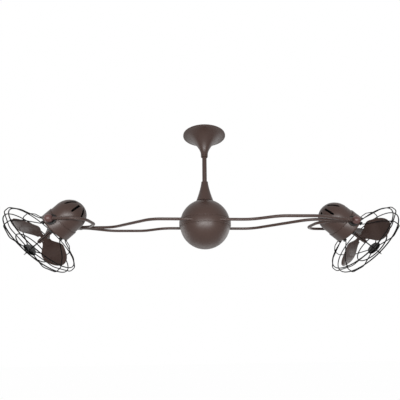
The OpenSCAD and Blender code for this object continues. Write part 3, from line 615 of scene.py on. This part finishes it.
# %% [markdown]
# A black fibre washer on each pivot fills the gap between ball and housing, and lets the head tilt without
# squeaking. One is lathed, laid on its pivot and copied half round to the other.

# %% Pivot washers
WASHER_R, WASHER_HOLE_R, WASHER_IN, WASHER_OUT = 18 * MM, 5 * MM, 59 * MM, 61.2 * MM
for side, place in HEADS.items():
    bm = tube(WASHER_HOLE_R, WASHER_R, WASHER_IN, WASHER_OUT, 48)
    soften(bm, 0.5 * MM)
    bmesh.ops.transform(bm, matrix=Matrix.Rotation(-math.pi / 2, 4, "X"), verts=bm.verts)
    repeat_round(bm, 2)
    finish_piece(f"{side}_pivot_washers", bm, black_moulding, f"{side}_head", slot="black_plastic",
                 place=place)

# %% [markdown]
# ## Heads
#
# A head's motor sits in a deep-drawn dome, pressed into a wider collar that carries the guard. The collar is
# turned, with square edges broken at the back and a full rounded lip in front, so it is lathed too.

# %% Collar
COLLAR_R, COLLAR_BACK, COLLAR_FRONT, HOUSING_IN_R = 58.5 * MM, 13 * MM, 25 * MM, 54 * MM
# The lip is a sixth of a circle, so it meets the collar's front at a blunt angle.
LIP_R, LIP_TURN, LIP_ROWS = 6 * MM, math.pi / 3, 8

for side, place in HEADS.items():
    lip = [(COLLAR_R - LIP_R * (1 - math.cos(a)), COLLAR_FRONT - LIP_R * (math.sin(LIP_TURN) - math.sin(a)))
           for a in (LIP_TURN * row / LIP_ROWS for row in range(LIP_ROWS + 1))]
    back = [(HOUSING_IN_R, -COLLAR_BACK), (COLLAR_R, -COLLAR_BACK)]
    bm = lathe(back + lip + [(HOUSING_IN_R, COLLAR_FRONT)])
    soften(bm, 0.8 * MM, segments=3)
    finish_piece(f"{side}_collar_ring", bm, bronze, f"{side}_head", f"{side}_collar", slot="bronze_paint",
                 place=place)

# %% [markdown]
# Eight cooling slots are punched in the dome. Cutting them here would take eight booleans, but the CAD model
# has them already, so its mesh is copied, merged and given smooth shading. Its inner side and the slots'
# walls are painted near black as shade: a face is one of those when it doesn't look away from the
# middle of the dome's rounding. A thin near-black sheet behind the slots is painted shade too, so that no
# slot shows daylight.

# %% Dome and its painted shade
DOME_START = 40 * MM
# The least cosine between a face's normal and the way out from the middle, for a face of the outer skin.
LOOKS_OUT = 0.2
SHADE_SHEET_R, SHADE_SHEET_WALL, SHADE_SHEET_MOUTH_R = HOUSING_IN_R - 0.6 * MM, 0.8 * MM, 17 * MM

for side, place in HEADS.items():
    bm = bmesh.new()
    bm.from_mesh(nodes[f"{side}_dome"].data)
    bmesh.ops.remove_doubles(bm, verts=bm.verts, dist=TOUCHING)
    dome = finish_piece(f"{side}_slotted_dome", bm, bronze, f"{side}_head", f"{side}_dome",
                        slot="bronze_paint")
    # Painted shade: the faces that don't look out, inside the dome and on the slot walls, take the near
    # black.
    dome.data.materials.append(liner_black)
    to_head = place.inverted()
    for face in dome.data.polygons:
        spot, out = to_head @ face.center, to_head.to_3x3() @ face.normal
        spot.z = min(spot.z + DOME_START, 0)
        face.material_index = int(out.dot(spot.normalized()) < LOOKS_OUT)
    # A near-black sheet behind the slots, as painted shade, so that no slot shows light through it.
    bm = lathe(half_shell(-math.acos(SHADE_SHEET_MOUTH_R / SHADE_SHEET_R), 0, SHADE_SHEET_R, SHADE_SHEET_R - SHADE_SHEET_WALL, 24))
    finish_piece(f"{side}_dome_shade_sheet", bm, liner_black, f"{side}_head", slot="black_plastic",
                 place=place @ Matrix.Translation((0, 0, -DOME_START)))

# %% [markdown]
# ## Guard
#
# Each guard is eight loops of steel wire round the axis. A loop rises from its foot in the collar, runs out
# past a knee to the rim, turns back over it and runs in to the front disc. One loop is bent and then copied
# round.

# %% Wire loops
WIRE_R, LOOPS = 1.6 * MM, 8
RIM_R, TIP_RIM_R, DISC_R = 138 * MM, 147.5 * MM, 25 * MM
GUARD_KNEE, GUARD_RIM, TIP_H, GUARD_FRONT = 54 * MM, 85 * MM, 20 * MM, 129 * MM
KNEE_R, SHOULDER_R, SHOULDER_DROP, DISC_LAP = 119 * MM, RIM_R * 0.7, 8 * MM, 5 * MM
FOOT_R, FOOT_DEPTH, FOOT_RISE = (COLLAR_R + HOUSING_IN_R) / 2, 7 * MM, 8 * MM
LOOP_ROUTE = [Vector((r, 0, z)) for r, z in [
    (FOOT_R, COLLAR_FRONT - FOOT_DEPTH), (FOOT_R, COLLAR_FRONT + FOOT_RISE), (KNEE_R, GUARD_KNEE),
    (TIP_RIM_R, GUARD_RIM - TIP_H / 2), (TIP_RIM_R, GUARD_RIM + TIP_H / 2),
    (SHOULDER_R, GUARD_FRONT - SHOULDER_DROP), (DISC_R - DISC_LAP, GUARD_FRONT)]]
LOOP_BENDS = [bend * MM for bend in (0, 6, 40, 11, 11, 60, 0)]
AT_GUARD = {side: HEADS[side] @ Matrix.Rotation(math.radians(turn), 4, "Z")
            for side, turn in (("right", 30), ("left", 16))}

for side, place in AT_GUARD.items():
    bm = bent_bar(LOOP_ROUTE, LOOP_BENDS, WIRE_R, 12)
    repeat_round(bm, LOOPS)
    finish_piece(f"{side}_guard_hairpins", bm, wire_bronze, f"{side}_head", f"{side}_guard_loops",
                 slot="dark_wire", place=place)

# %% [markdown]
# Three rings are welded inside the loops: two at the rim and one in front. Their places aren't typed in. Each
# follows from where a loop's run has the ring's radius, so that ring and wire always touch. A circle is stood
# up there and spun once round the axis.

# %% Guard rings
RING_WIRE_R, INNER_RING_R, BACK_RING_IN = 1.8 * MM, 66 * MM, 6.5 * MM


def crossing(run, radius):
    """Where a ring crosses a run of the loop: the middle of its wire, and the touching point beside it."""
    along = (LOOP_ROUTE[run + 1] - LOOP_ROUTE[run]).normalized()
    spot = LOOP_ROUTE[run] + along * ((radius - LOOP_ROUTE[run].x) / along.x)
    inward = Vector((-along.z, 0, along.x))
    return spot + inward * (WIRE_R + RING_WIRE_R), spot + inward * WIRE_R


CROSSINGS = [crossing(2, TIP_RIM_R - BACK_RING_IN), crossing(4, RIM_R), crossing(5, INNER_RING_R)]
for side, place in AT_GUARD.items():
    bm = bmesh.new()
    for centre, _ in CROSSINGS:
        upright = Matrix.Translation(centre) @ Matrix.Rotation(math.pi / 2, 4, "X")
        ring = bmesh.ops.create_circle(bm, segments=12, radius=RING_WIRE_R, matrix=upright)["verts"]
        edges = [e for e in bm.edges if e.verts[0] in ring]
        bmesh.ops.spin(bm, geom=ring + edges, cent=(0, 0, 0), axis=(0, 0, 1), angle=2 * math.pi, steps=128,
                       use_merge=True)
    finish_piece(f"{side}_guard_hoops", bm, wire_bronze, f"{side}_head", f"{side}_guard_rings",
                 slot="dark_wire", place=place)

# %% [markdown]
# A bead of weld sits at each crossing, as on real wire guards. The rearmost are thick enough to see as dots.
# A small sphere with few faces is plenty for something of this size, which is there 24 times on each head.

# %% Weld beads
BEADS = (3.3 * MM, 2.6 * MM, 2.0 * MM)

for side, place in AT_GUARD.items():
    bm = bmesh.new()
    for (_, spot), bead_r in zip(CROSSINGS, BEADS):
        bmesh.ops.create_uvsphere(bm, u_segments=12, v_segments=8, radius=bead_r,
                                  matrix=Matrix.Translation(spot))
    repeat_round(bm, LOOPS)
    finish_piece(f"{side}_weld_beads", bm, wire_bronze, f"{side}_head", slot="dark_wire", place=place)

# %% [markdown]
# The disc in front of the guard is a plain moulded cap. Its rim lies on the loops' ends, and a boss goes
# through between them to a foot behind, which clamps them. Its face is bare. It is lathed from a profile that
# starts a tenth of a millimetre off the axis, which leaves a pinhole too fine to see.

# %% Front cap
CAP_T, CAP_BACK = 2.5 * MM, GUARD_FRONT + WIRE_R + 0.05 * MM
CAP_FOOT_T, CAP_FOOT, CAP_FOOT_R = 3 * MM, GUARD_FRONT - WIRE_R - 0.4 * MM, DISC_R - 3.5 * MM
BOSS_R, PINHOLE_R = DISC_R / 3, 0.1 * MM

for side, place in HEADS.items():
    behind = [(PINHOLE_R, CAP_FOOT - CAP_FOOT_T), (CAP_FOOT_R, CAP_FOOT - CAP_FOOT_T), (CAP_FOOT_R, CAP_FOOT)]
    boss = [(BOSS_R, CAP_FOOT), (BOSS_R, CAP_BACK)]
    disc = [(DISC_R, CAP_BACK), (DISC_R, CAP_BACK + CAP_T)]
    bm = lathe([(PINHOLE_R, CAP_BACK + CAP_T)] + behind + boss + disc, 64)
    soften(bm, 0.8 * MM, 50, 3)
    finish_piece(f"{side}_front_cap", bm, black_moulding, f"{side}_head", f"{side}_guard_disc",
                 slot="black_plastic", place=place)

# %% [markdown]
# Where a loop's other end enters the collar, a keeper block holds it down. A keeper is a cube, scaled to its
# size, moved to the collar's front, rounded and copied round.

# %% Wire keepers
KEEPER_SIZE = (8 * MM, 11 * MM, 5.8 * MM)
KEEPER_AT = Matrix.Translation((COLLAR_R - 3.3 * MM, 0, COLLAR_FRONT + KEEPER_SIZE[2] / 2))

for side, place in AT_GUARD.items():
    bm = bmesh.new()
    bmesh.ops.create_cube(bm, size=1, matrix=KEEPER_AT @ Matrix.Diagonal((*KEEPER_SIZE, 1)))
    soften(bm, 0.9 * MM, segments=3)
    repeat_round(bm, LOOPS)
    finish_piece(f"{side}_wire_keepers", bm, black_moulding, f"{side}_head", f"{side}_guard_clips",
                 slot="black_plastic", place=place)

# %% [markdown]
# ## Fan
#
# A blade is one pressed sheet: broad and oval, twisted from a steep root to a flatter tip, with a little
# camber. It could be pulled into shape by hand, but then no width or pitch could be read off it. So it starts
# as a flat grid, and a formula moves each row out to its radius, narrows it to the blade's width there and
# tilts it by the pitch. Rows lie closer together near the tip, where the outline turns fastest.

# %% A blade's surface
# The blade is flat out to FLAT_R, and set back by ROOT_BACK there. It is in its own plane from LEVEL_R on.
TIP_R, ROOT_R, FLAT_R, WIDEST_R = 122 * MM, 12.5 * MM, 42 * MM, 61 * MM
HALF_W, ROOT_HALF_W = 38 * MM, 13 * MM
ROOT_PITCH, TIP_PITCH = math.radians(52), math.radians(45)
BLADE_MID, ROOT_BACK, LEVEL_R = 77 * MM, 5 * MM, TIP_R * 0.7
CAMBER = 3 * MM
# At 1 the tip would close to a point; a little less leaves it blunt.
OVAL = 0.98


def ease(share):
    """A smooth step from 0 to 1."""
    share = min(max(share, 0), 1)
    return share * share * (3 - 2 * share)


def half_width(r):
    """Half the blade's width at a radius: a flare from the root, then an oval out to the tip."""
    if r < WIDEST_R:
        return ROOT_HALF_W + (HALF_W - ROOT_HALF_W) * ease((r - ROOT_R) / (WIDEST_R - ROOT_R))
    return HALF_W * math.sqrt(1 - ((r - WIDEST_R) / (TIP_R - WIDEST_R)) ** 2 * OVAL)


def blade_point(out, across):
    """A point of the blade's middle surface, out (0 to 1) along it and across (-1 to 1) it."""
    r = ROOT_R + (TIP_R - ROOT_R) * math.sin(out * math.pi / 2)
    w = across * half_width(r)
    pitch = ROOT_PITCH + (TIP_PITCH - ROOT_PITCH) * ease((r - FLAT_R) / (TIP_R - FLAT_R))
    middle = BLADE_MID - ROOT_BACK * (1 - ease((r - FLAT_R) / (LEVEL_R - FLAT_R)))
    lift = CAMBER * ease((r - FLAT_R) / FLAT_R) * (1 - across ** 2)
    return Vector((r, w * math.cos(pitch) - lift * math.sin(pitch),
                   middle + w * math.sin(pitch) + lift * math.cos(pitch)))


print(f"a blade is {2 * half_width(WIDEST_R) / MM:.0f} mm wide at a radius of {WIDEST_R / MM:.0f} mm")

# %% [markdown]
# Each fan has three blades. Solidify gives the sheet its thickness to both sides of the grid, and Bevel
# rounds the sheet's edge. As modifiers they stay easy to change, and they need no faces of their own in the
# script.

# %% Blades
BLADE_T = 1.6 * MM
FAN_TURN = {"right": math.radians(9), "left": math.radians(2)}

for side, place in HEADS.items():
    for n in range(3):
        bm = bmesh.new()
        bmesh.ops.create_grid(bm, x_segments=28, y_segments=20, size=1)
        for v in bm.verts:
            v.co = blade_point((v.co.x + 1) / 2, v.co.y)
        turned = place @ Matrix.Rotation(FAN_TURN[side] + n * 2 * math.pi / 3, 4, "Z")
        blade = finish_piece(f"{side}_pressed_blade_{n + 1}", bm, blade_bronze, f"{side}_fan",
                             f"{side}_blade_{n + 1}", slot="dark_blade", place=turned)
        sheet = blade.modifiers.new("sheet", "SOLIDIFY")
        sheet.thickness = BLADE_T
        sheet.offset = 0
        edge = blade.modifiers.new("rolled edge", "BEVEL")
        edge.width = 0.5 * MM
        edge.segments = 2
        edge.limit_method = "ANGLE"

# %% [markdown]
# ## What keeps its CAD shape
#
# The hub, shaft, motor, bearings and ceiling bracket are simple turned and cut shapes, mostly out of sight,
# so the CAD model's own meshes serve. Their finishes are what such parts have: zinc on the fasteners, bare
# laminations on the motor, enamelled copper on its windings. The shaft, hub and nut are seen between the
# blades, so they have the fan's dark coats.

# %% Finishes of the CAD pieces that stay
KEPT = {"ceiling_bracket": zinc, "hanger_block": zinc, "hanger_pin": zinc, "terminal_block": ivory_moulding,
        "spindle": zinc, "spindle_nut": zinc, "slip_ring": enamel_wire, "hub_bearings": zinc, "arm_hub": zinc,
        "brush_block": black_moulding}
for side in HEADS:
    KEPT.update({f"{side}_front_plate": black_moulding, f"{side}_stator": lamination,
                 f"{side}_windings": enamel_wire, f"{side}_bearings": zinc, f"{side}_pivot_studs": zinc,
                 f"{side}_shaft": wire_bronze, f"{side}_rotor_core": lamination,
                 f"{side}_blade_hub": blade_bronze, f"{side}_hub_nut": blade_bronze})
for node, finish in KEPT.items():
    nodes[node].data.materials.clear()
    nodes[node].data.materials.append(finish)
print(len(KEPT), "CAD pieces keep their shape")

# %% [markdown]
# ## Stage and light
#
# The photograph's background is plain white, but a white room would light the fan flat from all sides. So the
# floor and the world are white only for rays that show them: those that come straight from the camera or by a
# reflection. For the light on the fan the room is dim. The Light Path node tells the two apart.

# %% Which rays see the background
def seen_ray(tree):
    """1 for the rays that show the background, straight or in metal, and 0 for those that light the fan."""
    rays = tree.nodes.new("ShaderNodeLightPath")
    result = rays.outputs["Is Camera Ray"]
    for kind in ("Is Glossy Ray", "Is Transmission Ray"):
        result = calculate(tree, "MAXIMUM", result, rays.outputs[kind])
    return result


# %% [markdown]
# The floor is far below, as under a real fan, and wide enough for no edge to show. It is a matt grey, mixed
# almost wholly with an even glow for the rays that show it, so no shadow or far edge greys the picture.

# %% Floor
FLOOR_Z, FLOOR_HALF_W = -2.5, 8
FLOOR_GLOW, GLOW_SHARE = 1.04, 0.94

bm = bmesh.new()
bmesh.ops.create_grid(bm, x_segments=1, y_segments=1, size=FLOOR_HALF_W)
bmesh.ops.translate(bm, vec=(0, 0, FLOOR_Z), verts=bm.verts)
mesh = bpy.data.meshes.new("floor")
bm.to_mesh(mesh)
bm.free()
floor = bpy.data.objects.new("floor", mesh)
bpy.context.scene.collection.objects.link(floor)
pale = bpy.data.materials.new("pale_floor")
pale.use_nodes = True
tree = pale.node_tree
matt = tree.nodes["Principled BSDF"]
matt.inputs["Base Color"].default_value = (0.85, 0.85, 0.85, 1)
matt.inputs["Roughness"].default_value = 0.8
glow = tree.nodes.new("ShaderNodeEmission")
glow.inputs["Strength"].default_value = FLOOR_GLOW
pick = tree.nodes.new("ShaderNodeMixShader")
tree.links.new(calculate(tree, "MULTIPLY", seen_ray(tree), GLOW_SHARE), pick.inputs["Fac"])
tree.links.new(matt.outputs[0], pick.inputs[1])
tree.links.new(glow.outputs[0], pick.inputs[2])
tree.links.new(pick.outputs[0], tree.nodes["Material Output"].inputs["Surface"])
mesh.materials.append(pale)
print(f"floor {-FLOOR_Z} m below the ceiling")

# %% [markdown]
# The world is the same idea with two Background nodes: full white to be seen, and a dim one to fill the
# shadows a little.

# %% World
ROOM_LIGHT = 0.22

world = bpy.data.worlds.new("white_room")
bpy.context.scene.world = world
world.use_nodes = True
tree = world.node_tree
tree.nodes.clear()
pick = tree.nodes.new("ShaderNodeMixShader")
tree.links.new(seen_ray(tree), pick.inputs["Fac"])
for socket, strength in ((1, ROOM_LIGHT), (2, 1.0)):
    background = tree.nodes.new("ShaderNodeBackground")
    background.inputs["Color"].default_value = (1, 1, 1, 1)
    background.inputs["Strength"].default_value = strength
    tree.links.new(background.outputs[0], pick.inputs[socket])
tree.links.new(pick.outputs[0], tree.nodes.new("ShaderNodeOutputWorld").inputs["Surface"])
print("world:", world.name, "with a room light of", ROOM_LIGHT)

# %% [markdown]
# A long low soft box in front gives the globe the one highlight that the photograph shows below its belt. Two
# wide dim ones behind and to the sides give the soft pale edges, and a dimmer one lifts the undersides. Area
# lamps are used because their size sets how soft a highlight is.

# %% Lamps
# Each lamp's name, place, aim, width and height in metres, and power in watts.
LAMPS = [("key", (-0.12, -1.7, -0.62), (0, 0, -0.35), 2.0, 0.22, 48),
         ("left", (-2.0, 1.4, -0.9), (0, 0, -0.2), 1.8, 1.8, 15),
         ("right", (2.0, 1.4, -0.9), (0, 0, -0.2), 1.8, 1.8, 15),
         ("low", (0, 1.4, -2.0), (0, 0, -0.3), 2.0, 0.8, 6)]

for name, spot, aim, width, height, watts in LAMPS:
    light = bpy.data.objects.new(name, bpy.data.lights.new(name, "AREA"))
    light.data.shape = "RECTANGLE"
    light.data.size = width
    light.data.size_y = height
    light.data.energy = watts
    light.matrix_world = aimed(spot, Vector(aim) - Vector(spot))
    bpy.context.scene.collection.objects.link(light)
bpy.context.scene.view_settings.view_transform = "Standard"
print(len(LAMPS), "lamps")
